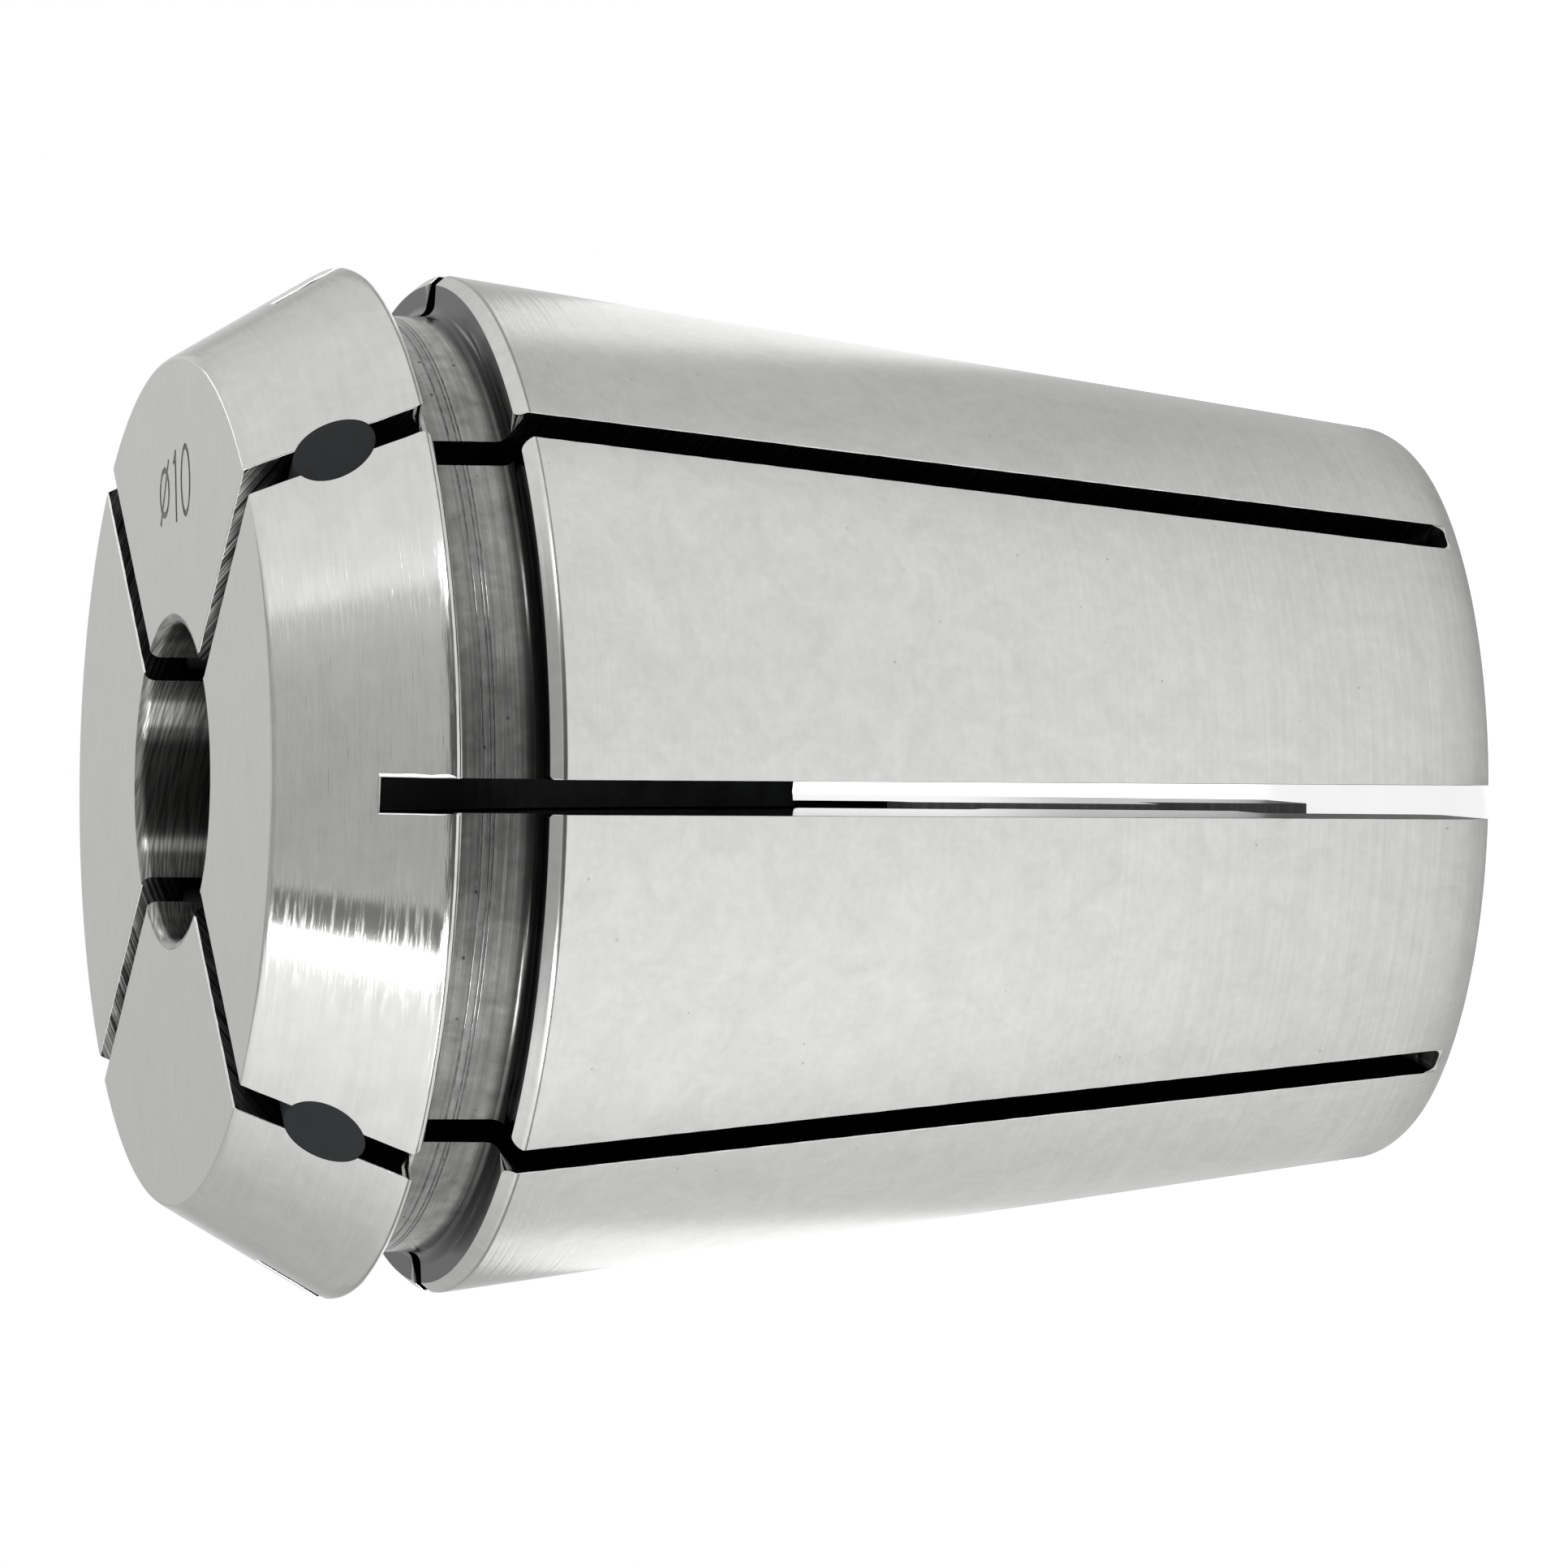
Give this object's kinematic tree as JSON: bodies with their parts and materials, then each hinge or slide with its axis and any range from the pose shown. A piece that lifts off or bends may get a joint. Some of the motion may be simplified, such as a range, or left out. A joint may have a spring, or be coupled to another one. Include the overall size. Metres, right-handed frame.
{
  "type": "er collet",
  "caption": "Slotted spring collet for a tap: 8 degree outer taper, 30 degree nose cone, nut groove, round clamping bore and inner square drive, with rubber seal plugs in the nose.",
  "frame": {"origin": "centre of the small rear face, which the collet stands on", "axes": "+Z along the collet's axis towards the nose cone; +X and +Y each lie in the plane of two of the slots that are open at the rear"},
  "size_m": [0.0328, 0.0328, 0.04],
  "materials": {
    "ground_steel": "hardened, ground and polished",
    "seal_rubber": "matte"
  },
  "bodies": {
    "root": {"collet_body": "ground_steel", "seal_plug_1": "seal_rubber", "seal_plug_2": "seal_rubber", "seal_plug_3": "seal_rubber", "seal_plug_4": "seal_rubber"}
  },
  "joints": []
}
